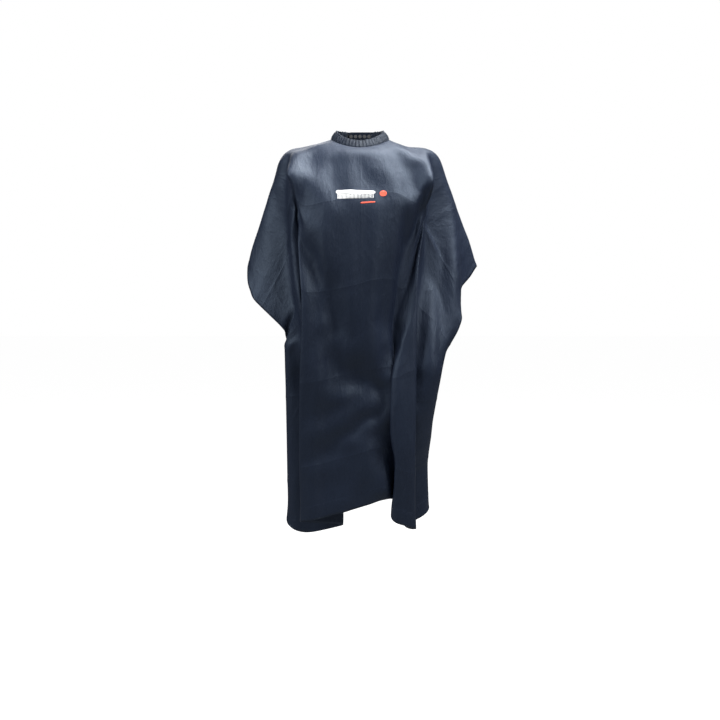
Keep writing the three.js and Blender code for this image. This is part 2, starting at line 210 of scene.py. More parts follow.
class CapeSettings(bpy.types.PropertyGroup):
    cut: PointerProperty(type=CapeCut)
    drape: PointerProperty(type=CapeDrape)
    neckband: PointerProperty(type=CapeNeckband)
    finishes: PointerProperty(type=CapeFinishes)
    studio: PointerProperty(type=CapeStudio)


def settings():
    return bpy.context.scene.barber_cape


# ---- Materials ----

class Value:
    """A number that varies over a surface, as the output of a node."""

    def __init__(self, finish, socket):
        self.finish, self.socket = finish, socket

    def _math(self, operation, first, second=0.0):
        return self.finish.node("ShaderNodeMath", {"operation": operation}, {0: first, 1: second})

    def __add__(self, other):
        return self._math("ADD", self, other)

    def __mul__(self, other):
        return self._math("MULTIPLY", self, other)

    def __sub__(self, other):
        return self._math("SUBTRACT", self, other)

    def __rsub__(self, other):
        return self._math("SUBTRACT", other, self)

    def __pow__(self, other):
        return self._math("POWER", self, other)

    __radd__, __rmul__ = __add__, __mul__

    def sine(self):
        return self._math("SINE", self)

    def size(self):
        return self._math("ABSOLUTE", self)

    def over(self, low, high):
        """0 below low, 1 above high, straight between."""
        return self.finish.node("ShaderNodeMapRange", {"clamp": True},
                                {"Value": self, "From Min": low, "From Max": high})


class Nodes:
    """A node tree that is being put together."""

    def __init__(self, owner):
        owner.use_nodes = True
        self.tree = owner.node_tree
        self.tree.nodes.clear()

    def node(self, kind, options=None, inputs=None, output=0):
        node = self.tree.nodes.new(kind)
        for key, value in (options or {}).items():
            setattr(node, key, value)
        for key, value in (inputs or {}).items():
            if isinstance(value, Value):
                self.tree.links.new(value.socket, node.inputs[key])
            else:
                node.inputs[key].default_value = value
        return Value(self, node.outputs[output])

    def surface(self, kind, shader):
        """Link a shader to the tree's output."""
        out = self.tree.nodes.new(kind)
        self.tree.links.new(shader.socket, out.inputs["Surface"])


class Finish(Nodes):
    """A material that is being put together from nodes."""

    def __init__(self, name):
        self.material = bpy.data.materials.new(name)
        super().__init__(self.material)

    def place(self):
        return self.node("ShaderNodeTexCoord", output="Object")

    def flat(self):
        """Where a point lay on the sheet before it was draped."""
        return self.node("ShaderNodeAttribute", {"attribute_name": "flat"}, output="Vector")

    def parts(self, vector):
        first = self.node("ShaderNodeSeparateXYZ", inputs={"Vector": vector})
        outputs = first.socket.node.outputs
        return [Value(self, outputs[axis]) for axis in "XYZ"]

    def stretch(self, vector, factors):
        return self.node("ShaderNodeVectorMath", {"operation": "MULTIPLY"},
                         {0: vector, 1: factors})

    def noise(self, vector, scale, detail=2.0, roughness=0.5):
        return self.node("ShaderNodeTexNoise", {"noise_dimensions": "3D"},
                         {"Vector": vector, "Scale": scale, "Detail": detail,
                          "Roughness": roughness}, output="Fac")

    def blend(self, amount, first, second):
        return self.node("ShaderNodeMix", {"data_type": "RGBA"},
                         {0: amount, 6: first, 7: second}, output=2)

    def bump(self, height, depth, strength=1.0, normal=None):
        inputs = {"Height": height, "Distance": depth, "Strength": strength}
        if normal is not None:
            inputs["Normal"] = normal
        return self.node("ShaderNodeBump", inputs=inputs, output="Normal")

    def finish(self, **inputs):
        shader = self.node("ShaderNodeBsdfPrincipled",
                           inputs={key.replace("_", " "): value for key, value in inputs.items()})
        self.surface("ShaderNodeOutputMaterial", shader)
        return self.material


def tint(color, factor=1.0):
    return (*[min(part * factor, 1) for part in color], 1)


def weave_height(across, along, pitch):
    turns = 2 * math.pi / pitch
    return (across * turns).sine() * (along * turns).sine()


def nylon_material():
    """Coated nylon: plain weave, packing folds, fine handling creases, satin gloss."""
    colors = settings().finishes
    nylon = Finish("cape_nylon_satin")
    flat = nylon.flat()
    across, along, _ = nylon.parts(flat)
    mottle = nylon.noise(flat, 3.2, 4.0, 0.6)
    slub = nylon.noise(nylon.stretch(flat, (420.0, 30.0, 1.0)), 1.0, 2.0)
    dents = nylon.noise(nylon.stretch(flat, (30.0, 17.0, 1.0)), 1.0, 3.0, 0.6)
    crush = nylon.noise(nylon.stretch(flat, (15.0, 6.0, 1.0)), 1.0, 4.0, 0.55)
    ridges = 1 - ((crush - 0.5) * 2).size()
    packing = sum((1 - (along - fold).size() * 300.0).over(0, 1) for fold in PACKING_ROWS)
    packing += sum((1 - (across - fold).size() * 300.0).over(0, 1) for fold in PACKING_COLUMNS)
    cut = settings().cut
    turned = (along + (cut.front - cut.front_hem)).over(-0.002, 0.002)
    color = nylon.blend(mottle.over(0.3, 0.7), tint(colors.nylon, 0.84), tint(colors.nylon, 1.16))
    color = nylon.blend(slub * 0.35, color, tint(colors.nylon, 1.35))
    weave = weave_height(across, along, colors.weave)
    normal = nylon.bump(dents + packing * 0.12 - turned * 0.22, 0.0045, 0.38)
    normal = nylon.bump(ridges ** 8.0, 0.0012, 0.4, normal)
    normal = nylon.bump(weave, 0.00004, 0.6, normal)
    return nylon.finish(
        Base_Color=color, Roughness=0.50 + mottle * 0.10 + slub * 0.05, Normal=normal,
        Specular_IOR_Level=0.5, Specular_Tint=(0.64, 0.80, 1, 1))


def cloth_material(name, color, pitch, roughness, sheen):
    """Plain woven cloth whose threads follow the object's own axes."""
    cloth = Finish(name)
    place = cloth.place()
    x, y, z = cloth.parts(place)
    weave = weave_height(x + y, z, pitch)
    wear = cloth.noise(place, 60.0, 3.0)
    return cloth.finish(
        Base_Color=cloth.blend(wear.over(0.3, 0.7), tint(color, 0.82), tint(color, 1.2)),
        Roughness=roughness + wear * 0.12,
        Normal=cloth.bump(weave + wear * 0.6, 0.00008, 0.7),
        Specular_IOR_Level=0.22, Specular_Tint=(0.64, 0.80, 1, 1),
        Sheen_Weight=sheen, Sheen_Roughness=0.4)


def elastic_material():
    """Knitted elastic: upright ribs crossed by covered rubber strands."""
    elastic = Finish("elastic_rib_knit")
    x, y, z = elastic.parts(elastic.place())
    ribs = (z * (2 * math.pi / 0.0016)).sine().size()
    stitches = ((x + y) * (2 * math.pi / 0.0011)).sine().size()
    return elastic.finish(
        Base_Color=elastic.blend(ribs, tint(settings().finishes.elastic, 0.6),
                                 tint(settings().finishes.elastic, 1.8)),
        Roughness=0.82 + stitches * 0.1, Normal=elastic.bump(ribs + stitches * 0.5, 0.0002, 0.8),
        Sheen_Weight=0.2)


def nickel_material():
    """Nickel plate, turned in rings and a little rubbed."""
    nickel = Finish("nickel_plate")
    place = nickel.place()
    rubbed = nickel.noise(place, 900.0, 3.0)
    stain = nickel.noise(place, 160.0, 2.0)
    color = settings().finishes.nickel
    return nickel.finish(
        Base_Color=nickel.blend(stain.over(0.45, 0.75), tint(color), tint(color, 0.78)),
        Metallic=1.0, Roughness=0.20 + rubbed * 0.18, Normal=nickel.bump(rubbed, 0.00002, 0.5))


def ink_material(name, color):
    """Screen-printed ink that has taken on the weave under it."""
    ink = Finish(name)
    across, along, _ = ink.parts(ink.flat())
    weave = weave_height(across, along, settings().finishes.weave)
    film = ink.noise(ink.place(), 500.0, 3.0)
    return ink.finish(
        Base_Color=ink.blend(film.over(0.35, 0.75), tint(color), tint(color, 0.86)),
        Roughness=0.50 + film * 0.16, Normal=ink.bump(weave + film, 0.00004, 0.6),
        Specular_IOR_Level=0.4)


def satin_material():
    """White satin ribbon with long floats."""
    satin = Finish("label_satin_ribbon")
    _, _, z = satin.parts(satin.place())
    floats = (z * (2 * math.pi / 0.0005)).sine()
    slub = satin.noise(satin.stretch(satin.place(), (90.0, 90.0, 900.0)), 1.0, 2.0)
    color = settings().finishes.satin
    return satin.finish(
        Base_Color=satin.blend(slub, tint(color, 0.9), tint(color, 1.1)),
        Roughness=0.36 + slub * 0.16, Normal=satin.bump(floats + slub, 0.00004, 0.6),
        Sheen_Weight=0.25)


def dress(piece, material, body="root"):
    """Give a new piece its finish and the body it moves with."""
    piece.data.materials.clear()
    piece.data.materials.append(material)
    for face in piece.data.polygons:
        face.use_smooth = True
    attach(piece, body)


# ---- Meshes ----

def new_mesh(name, points, faces):
    mesh = bpy.data.meshes.new(name)
    mesh.from_pydata([tuple(map(float, point)) for point in points], [],
                     [tuple(map(int, face)) for face in faces])
    mesh.update()
    return mesh


def add_mesh(name, points, faces, flat=None):
    mesh = new_mesh(name, points, faces)
    if flat is not None:
        lying = mesh.attributes.new("flat", "FLOAT_VECTOR", "POINT")
        values = np.zeros((len(points), 3))
        values[:, :2] = flat
        lying.data.foreach_set("vector", values.ravel())
    piece = bpy.data.objects.new(name, mesh)
    bpy.context.scene.collection.objects.link(piece)
    return piece


def vertex_normals(points, faces):
    mesh = new_mesh("normals", points, faces)
    normals = np.array([vertex.normal for vertex in mesh.vertices])
    bpy.data.meshes.remove(mesh)
    return normals


def rim_edges(faces):
    """Edges with a face on one side only, in the order that face runs."""
    once = {}
    for face in faces:
        for a, b in zip(face, tuple(face[1:]) + (face[0],)):
            if (b, a) in once:
                del once[(b, a)]
            else:
                once[(a, b)] = True
    return list(once)


def two_sided(points, faces, normals, above, below):
    """A closed skin round a surface, above and below it."""
    count = len(points)
    above, below = (np.broadcast_to(np.asarray(gap, float), (count,)) for gap in (above, below))
    skin = np.concatenate([points + normals * above[:, None], points - normals * below[:, None]])
    rounds = [tuple(face) for face in faces]
    rounds += [tuple(vertex + count for vertex in reversed(face)) for face in faces]
    rounds += [(b, a, a + count, b + count) for a, b in rim_edges(faces)]
    return skin, rounds


def thread_points(start, end, rise, radius, rings=4, sides=6):
    """One stitch: a thread that comes up, lies along the cloth and goes down."""
    along = end - start
    length = along.length
    along.normalize()
    side = along.cross(rise).normalized()
    points, faces = [], []
    for ring in range(rings):
        share = ring / (rings - 1)
        lift = math.sin(math.pi * share) * radius * 1.1 - radius * 0.35
        middle = start + along * (length * share) + rise * lift
        width = radius * (0.55 if ring in (0, rings - 1) else 1.0)
        for turn in range(sides):
            angle = 2 * math.pi * turn / sides
            points.append(middle + side * (width * math.cos(angle)) + rise * (width * math.sin(angle)))
    for ring in range(rings - 1):
        for turn in range(sides):
            a, b = ring * sides + turn, ring * sides + (turn + 1) % sides
            faces.append((a, b, b + sides, a + sides))
    faces.append(tuple(reversed(range(sides))))
    faces.append(tuple(range((rings - 1) * sides, rings * sides)))
    return points, faces


def add_stitches(name, runs, radius):
    """runs is a list of (start, end, rise) for each stitch."""
    points, faces = [], []
    for start, end, rise in runs:
        if (end - start).length < radius:
            continue
        more, rounds = thread_points(start, end, rise, radius)
        faces += [tuple(vertex + len(points) for vertex in face) for face in rounds]
        points += more
    return add_mesh(name, points, faces)


# ---- Neck seam and band ----

def neck_seam(degrees):
    turn = math.radians(degrees)
    sine, cosine = math.sin(turn), math.cos(turn)
    power = 2 / (FRONT_ROUNDNESS if cosine > 0 else BACK_ROUNDNESS)
    depth = NECK_FRONT if cosine > 0 else NECK_BACK
    rise = smooth(0, NECK_RISE_END, abs(degrees))
    return Vector((NECK_HALF_WIDTH * math.copysign(abs(sine) ** power, sine),
                   -depth * math.copysign(abs(cosine) ** power, cosine),
                   NECK_FRONT_LEVEL + (NECK_BACK_LEVEL - NECK_FRONT_LEVEL) * rise)) * MM


def band_frame(degrees):
    """The seam, and the band's directions out of its cloth and up its cloth."""
    straighten = smooth(90, BAND_END, abs(degrees))
    along = neck_seam(degrees + 0.5) - neck_seam(degrees - 0.5)
    outwards = Vector((along.y, -along.x, 0)).normalized()
    outwards = outwards.lerp(Vector((0, 1, 0)), straighten ** 3).normalized()
    lean = math.radians(BAND_LEAN * (1 - straighten))
    upright = Vector((0, 0, 1))
    return (neck_seam(degrees), outwards * math.cos(lean) + upright * math.sin(lean),
            upright * math.cos(lean) - outwards * math.sin(lean))


# ---- The form ----

def add_form():
    """The body that the cape is draped over. It is taken away afterwards."""
    points, faces = [], []
    sides = 48
    for level, half_width, half_depth, forward in TORSO:
        for side in range(sides):
            angle = 2 * math.pi * side / sides
            cosine, sine = math.cos(angle), math.sin(angle)
            reach = (abs(cosine) ** 2.4 + abs(sine) ** 2.4) ** (-1 / 2.4)
            points.append((half_width * reach * cosine * MM,
                           (forward + half_depth * reach * sine) * MM, level * MM))
    for ring in range(len(TORSO) - 1):
        for side in range(sides):
            a, b = ring * sides + side, ring * sides + (side + 1) % sides
            faces.append((a, a + sides, b + sides, b))
    faces += [tuple(range(sides)), tuple(reversed(range(len(points) - sides, len(points))))]
    limbs = list(BUST)
    for joints in ARMS.values():
        for (a, ra), (b, rb) in zip(zip(joints, ARM_RADII), list(zip(joints, ARM_RADII))[1:]):
            limbs += [(*[p + (q - p) * step / 14 for p, q in zip(a, b)], ra + (rb - ra) * step / 14)
                      for step in range(15)]
    for x, y, z, radius in limbs:
        first = len(points)
        rings, turns = 12, 20
        points += [(x * MM, y * MM, (z + radius) * MM), (x * MM, y * MM, (z - radius) * MM)]
        for ring in range(1, rings):
            polar = math.pi * ring / rings
            for turn in range(turns):
                angle = 2 * math.pi * turn / turns
                points.append(((x + radius * math.sin(polar) * math.cos(angle)) * MM,
                               (y + radius * math.sin(polar) * math.sin(angle)) * MM,
                               (z + radius * math.cos(polar)) * MM))
        body = first + 2
        last = body + (rings - 2) * turns
        for turn in range(turns):
            beside = (turn + 1) % turns
            faces.append((first, body + turn, body + beside))
            faces.append((first + 1, last + beside, last + turn))
            for ring in range(rings - 2):
                a, b = body + ring * turns + turn, body + ring * turns + beside
                faces.append((a, a + turns, b + turns, b))
    form = add_mesh("drape_form", points, faces)
    bpy.ops.object.select_all(action="DESELECT")
    bpy.context.view_layer.objects.active = form
    form.select_set(True)
    form.data.remesh_voxel_size = FORM_CELL
    bpy.ops.object.voxel_remesh()
    soften = form.modifiers.new("soften", "SMOOTH")
    soften.factor, soften.iterations = 0.5, 6
    bpy.ops.object.modifier_apply(modifier=soften.name)
    return form


# ---- The sheet laid flat ----

def edge_distance(x, y, cut):
    """How far inside the cut edge a point of the flat sheet lies, in millimetres."""
    corner = cut.front_corner / MM if y < 0 else cut.back_corner / MM
    length = cut.front / MM if y < 0 else cut.back / MM
    across = abs(x) - (cut.width / 2 / MM - corner)
    along = abs(y) - (length - corner)
    outside = math.hypot(max(across, 0), max(along, 0)) + min(max(across, along), 0)
    return corner - outside


def flat_sheet(cut):
    """Grid of the flat sheet with a neck hole and a slit to the back edge, in millimetres."""
    half, front, back = cut.width / 2 / MM, cut.front / MM, cut.back / MM
    neck, step = cut.neck / MM, cut.step / MM
    columns = 2 * round(half / step) + 1
    xs = np.linspace(-half, half, columns)
    ys = np.concatenate([np.linspace(-front, 0, round(front / step) + 1)[:-1],
                         np.linspace(0, back, round(back / step) + 1)])
    middle = columns // 2
    kept = [[math.hypot(x, y) >= neck - 0.3 * step and edge_distance(x, y, cut) > -0.25 * step
             for y in ys] for x in xs]
    names, points, slit = {}, [], set()

    def vertex(i, j, side):
        key = (i, j, side if i == middle and ys[j] > 0 else 0)
        if key not in names:
            names[key] = len(points)
            points.append([xs[i], ys[j]])
            if key[2]:
                slit.add(names[key])
        return names[key]

    faces = []
    for i in range(columns - 1):
        for j in range(len(ys) - 1):
            if kept[i][j] and kept[i + 1][j] and kept[i][j + 1] and kept[i + 1][j + 1]:
                side = -1 if i < middle else 1
                faces.append((vertex(i, j, side), vertex(i + 1, j, side),
                              vertex(i + 1, j + 1, side), vertex(i, j + 1, side)))
    points = np.array(points, float)
    beside = [set() for _ in points]
    ring = [[] for _ in points]
    for face in faces:
        for a, b in zip(face, face[1:] + face[:1]):
            beside[a].add(b)
            beside[b].add(a)
    for a, b in rim_edges(faces):
        ring[a].append(b)
        ring[b].append(a)
    hole = {a for a in range(len(points)) if ring[a] and a not in slit
            and math.hypot(*points[a]) < neck + 3 * step}
    for side in (-1, 1):
        mine = [index for key, index in names.items() if key[2] == side]
        hole.add(min(mine, key=lambda index: points[index][1]))
    ends = {a for a in slit if a in hole or points[a][1] > back - 1e-6}

    def onto_edge(point):
        corner = cut.front_corner / MM if point[1] < 0 else cut.back_corner / MM
        near = np.array([min(max(point[0], corner - half), half - corner),
                         min(max(point[1], corner - front), back - corner)])
        away = point - near
        if away[0] and away[1]:
            return near + away / np.hypot(*away) * corner
        gaps = [(half - abs(point[0]), 0), (point[1] + front, 1), (back - point[1], 2)]
        side = min(gaps)[1]
        if side == 0:
            return np.array([math.copysign(half, point[0]), point[1]])
        return np.array([point[0], -front if side == 1 else back])

    beside = [np.array(sorted(near)) for near in beside]
    for _ in range(60):
        moved = points.copy()
        for a in range(len(points)):
            if not ring[a]:
                moved[a] = 0.4 * points[a] + 0.6 * points[beside[a]].mean(0)
            elif a in ends:
                moved[a] = [0, neck] if a in hole else [0, back]
            elif a in hole:
                near = points[ring[a]].mean(0)
                moved[a] = near / np.hypot(*near) * neck
            elif a in slit:
                moved[a] = [0, points[ring[a]].mean(0)[1]]
            else:
                moved[a] = onto_edge(points[ring[a]].mean(0))
        points = moved
    sides = {index: key[2] for key, index in names.items() if key[2]}
    return points, faces, hole, sides


# ---- The sheet put on the form ----

def along_path(path, distance):
    done = 0
    for p, q in zip(path, path[1:]):
        length = math.hypot(q[0] - p[0], q[1] - p[1])
        if distance <= done + length or q is path[-1]:
            share = (distance - done) / length
            return p[0] + (q[0] - p[0]) * share, p[1] + (q[1] - p[1]) * share
        done += length


def laid_on(side, across, ahead, cut, hold):
    """Where a point is laid on the form, by its distance beside and in front of the neck."""
    front = cut.front / MM
    slope = ARM_REACH[side] / SLEEVE
    middle = 1 - smooth(120, 260, across)   # 1 over the chest, 0 over the arms
    if across <= SHOULDER:
        out, top = across, -10 - 50 * (across / SHOULDER) ** 2
    else:
        beyond = across - SHOULDER
        out, top = SHOULDER + slope * beyond, -60 - math.sqrt(1 - slope * slope) * beyond
    if ahead <= CHEST:
        if ahead >= -NAPE:
            depth, level = -ahead, top
        else:
            depth = NAPE + 20 * (1 - math.exp((ahead + NAPE) / 60))
            level = top + ahead + NAPE
        if ahead > 0:
            level -= (ahead / CHEST) ** 2 * CHEST_DROP * middle
        return np.array((out, depth, level + FORM_GAP)), 0.0
    below = ahead - CHEST
    share = below / (front - CHEST)
    plan_x, plan_y = along_path(PLEATS[side], across)
    early, late = smooth(0.08, 0.5, share), smooth(0, 0.8, share)
    gather = early if across > CHEST else late
    if side > 0 and across > CHEST:
        slow = 1 - smooth(230, 380, across)
        gather = early * (1 - slow) + late * slow
    hanging = top - 0.15 * below - CHEST_DROP * middle + FORM_GAP
    hanging -= below * 0.85 * (1 - smooth(CHEST, 300, across))
    distances, levels = zip(*HEM_LEVELS[side])
    straight = np.interp(across, distances, levels) + front - ahead
    panel = 1 - smooth(CHEST, SHOULDER, across)
    drop = gather * (1 - panel) + smooth(0, 0.12, share) * panel
    place = ((1 - gather) * out + gather * plan_x, (1 - gather) * -CHEST + gather * plan_y,
             (1 - drop) * hanging + drop * straight)
    return np.array(place), hold * min(smooth(0.2, 0.9, share), 0.999)


def put_on(x, y, cut, drape):
    """Where a point of the flat sheet starts, and how firmly it is held there."""
    side = 1 if x >= 0 else -1
    across, ahead = abs(x), -y
    place, hold = laid_on(side, across, ahead, cut, drape.hem_hold)
    edge = SIDE_EDGES[side]
    end = edge[-1][0] + EDGE_RELEASE
    half = cut.width / 2 / MM
    if edge[0][0] < ahead < end and across > SHOULDER:
        free, _ = laid_on(side, half, ahead, cut, 0)
        last, _ = laid_on(side, half, end, cut, 0)
        stops = [stop[0] for stop in edge] + [end]
        wanted = [np.interp(ahead, stops, [stop[axis + 1] for stop in edge] + [last[axis]])
                  for axis in range(3)]
        place = place + smooth(SHOULDER, half, across) * (np.array(wanted) - free)
        if across > half - EDGE_WIDTH or (ahead < 0 and edge_distance(x, y, cut) < EDGE_WIDTH):
            hold = max(hold, drape.edge_hold)
    return (side * place[0], place[1], place[2]), hold


def drape_sheet(cut, drape):
    """Drape the flat sheet over the form. Returns its points in metres, faces and flat points."""
    flat, faces, hole, sides = flat_sheet(cut)
    form = add_form()
    sheet = add_mesh("draping", np.column_stack([flat, np.zeros(len(flat))]) * MM, faces)
    sheet.shape_key_add(name="Basis")
    rest = sheet.shape_key_add(name="rest")
    basis = sheet.data.shape_keys.key_blocks["Basis"]
    held = sheet.vertex_groups.new(name="held")
    for index, (x, y) in enumerate(flat):
        if index in hole:
            turn = math.degrees(math.atan2(x or 1e-6 * sides.get(index, 1), -y))
            place, hold = neck_seam(turn * BAND_END / 180) + Vector((0, 0, 1.5)) * MM, 1.0
        else:
            place, hold = put_on(x, y, cut, drape)
            place = Vector(place) * MM
        rest.data[index].co = Vector((x, y, 0)) * MM
        basis.data[index].co = place
        sheet.data.vertices[index].co = place
        held.add([index], hold, "REPLACE")
    form.modifiers.new("collision", "COLLISION")
    form.collision.thickness_outer = CONTACT
    form.collision.thickness_inner = 0.02
    form.collision.cloth_friction = 8
    cloth = sheet.modifiers.new("cloth", "CLOTH")
    weave = cloth.settings
    weave.quality = 8
    weave.mass = 0.12 * (cut.step / CLOTH_CELL) ** 2
    weave.tension_stiffness = weave.compression_stiffness = 40
    weave.shear_stiffness = 15
    weave.bending_stiffness = drape.stiffness
    weave.tension_damping = weave.compression_damping = weave.shear_damping = 5
    weave.bending_damping = 0.5
    weave.air_damping = drape.air
    weave.vertex_group_mass = held.name
    weave.pin_stiffness = 1
    weave.rest_shape_key = rest
    touch = cloth.collision_settings
    touch.collision_quality = 3
    touch.distance_min = touch.self_distance_min = CONTACT
    touch.use_self_collision = True
    touch.self_friction = 3
    scene = bpy.context.scene
    scene.frame_end = cloth.point_cache.frame_end = drape.frames + 5
    for step in range(1, drape.frames + 1):
        scene.frame_set(step)
    draped = sheet.evaluated_get(bpy.context.evaluated_depsgraph_get()).data
    points = np.array([vertex.co for vertex in draped.vertices])
    for used in (sheet, form):
        bpy.data.objects.remove(used)
    scene.frame_set(1)
    return points, faces, flat


def refine(points, faces, levels, kind):
    """Subdivide a surface and return its points and faces."""
    rough = add_mesh("refining", points, faces)
    finer = rough.modifiers.new("finer", "SUBSURF")
    finer.subdivision_type = kind
    finer.levels = finer.render_levels = levels
    mesh = rough.evaluated_get(bpy.context.evaluated_depsgraph_get()).data
    fine = np.array([vertex.co for vertex in mesh.vertices])
    rounds = [tuple(face.vertices) for face in mesh.polygons]
    bpy.data.objects.remove(rough)
    return fine, rounds


def crease(flat_point):
    """Small folds left by packing and handling, in metres."""
    x, y = flat_point[0], flat_point[1]
    wander = noise.noise(Vector((x * 2.3, y * 2.3, 7.0)))
    fine = noise.noise(Vector((x * 17, y * 6, 3.0)))
    long_fold = 1 - abs(noise.noise(Vector((x * 9 + wander, y * 2.2, 11.0)))) * 2.4
    lift = 0.0009 * fine + 0.0017 * max(long_fold, 0) ** 3 * (0.6 + wander)
    for chest, foot, height, width in HANGING_FOLDS:
        middle = chest + (foot - chest) * min(max((-y - 0.2) / 0.8, 0), 1) + 0.008 * wander
        near = (x - middle) / width
        lift += height * smooth(0.17, 0.46, -y) * math.exp(-near * near)
    for fold in PACKING_ROWS:
        near = (y - fold + 0.004 * noise.noise(Vector((x * 4, fold, 0)))) / 0.006
        lift += 0.00055 * math.exp(-near * near)
    for fold in PACKING_COLUMNS:
        near = (x - fold) / 0.006
        lift += 0.0004 * math.exp(-near * near) * (1 if y < -0.2 else 0)
    return lift


class DrapedSheet:
    """The finished sheet, with the way from a point on the flat cloth to its place."""

    def __init__(self, cut, drape):
        points, faces, flat = drape_sheet(cut, drape)
        # The fullest folds are pressed back a little, as by handling.
        full = np.clip(-FULLEST - points[:, 1], 0, None)
        points[:, 1] += full - FULLEST_GIVE * np.tanh(full / FULLEST_GIVE)
        lying = np.column_stack([flat, np.zeros(len(flat))]) * MM
        self.flat, _ = refine(lying, faces, 2, "SIMPLE")
        self.points, self.faces = refine(points, faces, 2, "CATMULL_CLARK")
        normals = vertex_normals(self.points, self.faces)
        away = np.hypot(self.flat[:, 0], self.flat[:, 1])
        calm = np.clip((away - 0.09) / 0.05, 0, 1)
        lifts = np.array([crease(point) for point in self.flat]) * calm
        self.points = self.points + normals * lifts[:, None]
        self.normals = vertex_normals(self.points, self.faces)
        hems = np.array([in_hem(x, y, cut) for x, y, _ in self.flat])
        self.half = cut.cloth / 2 * (1 + 1.3 * hems)
        outer = self.points + self.normals * self.half[:, None]
        triangles = [(f[0], f[1], f[2]) for f in self.faces] + [(f[0], f[2], f[3]) for f in self.faces]
        self.outer = [Vector(point) for point in outer]
        self.triangles = triangles
        self.lying = [Vector(point) for point in self.flat]
        self.tree = BVHTree.FromPolygons(self.lying, triangles)

    def at(self, x, y, rise=0.0):
        """The place of a flat point on the outer face, and the direction out of the cloth."""
        near, _, index, _ = self.tree.find_nearest(Vector((x, y, 0)))
        a, b, c = self.triangles[index]
        place = barycentric_transform(near, *(self.lying[v] for v in (a, b, c)),
                                      *(self.outer[v] for v in (a, b, c)))
        normal = barycentric_transform(near, *(self.lying[v] for v in (a, b, c)),
                                       *(Vector(self.normals[v]) for v in (a, b, c))).normalized()
        return place + normal * rise, normal


def in_hem(x, y, cut):
    """1 inside the turned hem, 0 inside the sheet."""
    depths = [edge_distance(x / MM, y / MM, cut) * MM - cut.side_hem]
    if abs(x) < cut.width / 2:
        depths.append(y + cut.front - cut.front_hem)
    if y > cut.neck:
        depths.append(abs(x) - cut.side_hem)
    return 1 - smooth(-HEM_STEP, HEM_STEP, min(depths))


def corner_arc(x, y, radius, start):
    """A quarter turn round a centre, anticlockwise from start, with its ends."""
    turns = [start + math.pi / 2 * step / 12 for step in range(13)]
    return [(x + radius * math.cos(turn), y + radius * math.sin(turn)) for turn in turns]


def hem_runs(sheet, cut, pitch, stitch):
    """Stitches along the inner edge of every hem."""
    reach = cut.width / 2 - cut.side_hem
    low, high = -cut.front + cut.front_hem, cut.back - cut.side_hem
    corner = cut.back_corner - cut.side_hem
    right = [(0.0, low)]
    right += corner_arc(reach - HEM_TURN, low + HEM_TURN, HEM_TURN, -math.pi / 2)
    right += corner_arc(reach - corner, high - corner, corner, 0)
    right += [(cut.side_hem, high), (cut.side_hem, cut.neck + 0.004)]
    runs = []
    for mirror in (1, -1):
        carry = 0.0
        for (ax, ay), (bx, by) in zip(right, right[1:]):
            length = math.hypot(bx - ax, by - ay)
            ux, uy = (bx - ax) / length, (by - ay) / length
            place = carry
            while place < length:
                x, y = ax + ux * place, ay + uy * place
                start, rise = sheet.at(mirror * x, y)
                end, _ = sheet.at(mirror * (x + ux * stitch), y + uy * stitch)
                runs.append((start, end, rise))
                place += pitch
            carry = place - length
    return runs


class Film:
    """Patches of one ink, gathered into one piece. They tilt by slope about x = pivot."""

    def __init__(self, sheet, slope, pivot):
        self.sheet, self.slope, self.pivot = sheet, slope, pivot
        self.points, self.faces, self.normals, self.flats = [], [], [], []

    def patch(self, columns, rows, outline):
        """outline turns (share across, share up) into flat metres."""
        first = len(self.points)
        for row in range(rows + 1):
            for column in range(columns + 1):
                x, y = outline(column / columns, row / rows)
                y += self.slope * (x - self.pivot)
                place, normal = self.sheet.at(x, y, 0.0002)
                self.points.append(place)
                self.normals.append(normal)
                self.flats.append((x, y))
        for row in range(rows):
            for column in range(columns):
                a = first + row * (columns + 1) + column
                self.faces.append((a, a + 1, a + columns + 2, a + columns + 1))

    def bar(self, left, right, low, high, round_ends):
        width, height, cell = right - left, high - low, 0.003

        def outline(u, v):
            inset = round_ends * (1 - math.sqrt(max(1 - (2 * v - 1) ** 2, 0)))
            return left + inset + (width - 2 * inset) * u, low + height * v

        self.patch(max(round(width / cell), 1), max(round(height / cell), 4), outline)

    def tooth(self, middle, width, tip, root):
        def outline(u, v):
            taper = 0.5 + 0.5 * min(v * 6, 1) ** 0.5
            return middle + width * taper * (u - 0.5), tip + (root - tip) * v

        self.patch(1, 8, outline)

    def disc(self, x, y, radius):
        def outline(u, v):
            a, b = 2 * u - 1, 2 * v - 1
            return (x + radius * a * math.sqrt(1 - b * b / 2),
                    y + radius * b * math.sqrt(1 - a * a / 2))

        self.patch(10, 10, outline)

    def add(self, name):
        points = np.array([tuple(point) for point in self.points])
        normals = np.array([tuple(normal) for normal in self.normals])
        skin, faces = two_sided(points, self.faces, normals, 0.00012, 0.0001)
        return add_mesh(name, skin, faces, np.concatenate([self.flats, self.flats]))


# ---- Operators ----

DRAPED = {}     # the draped sheet and the pieces that lie on it, for the operators that follow

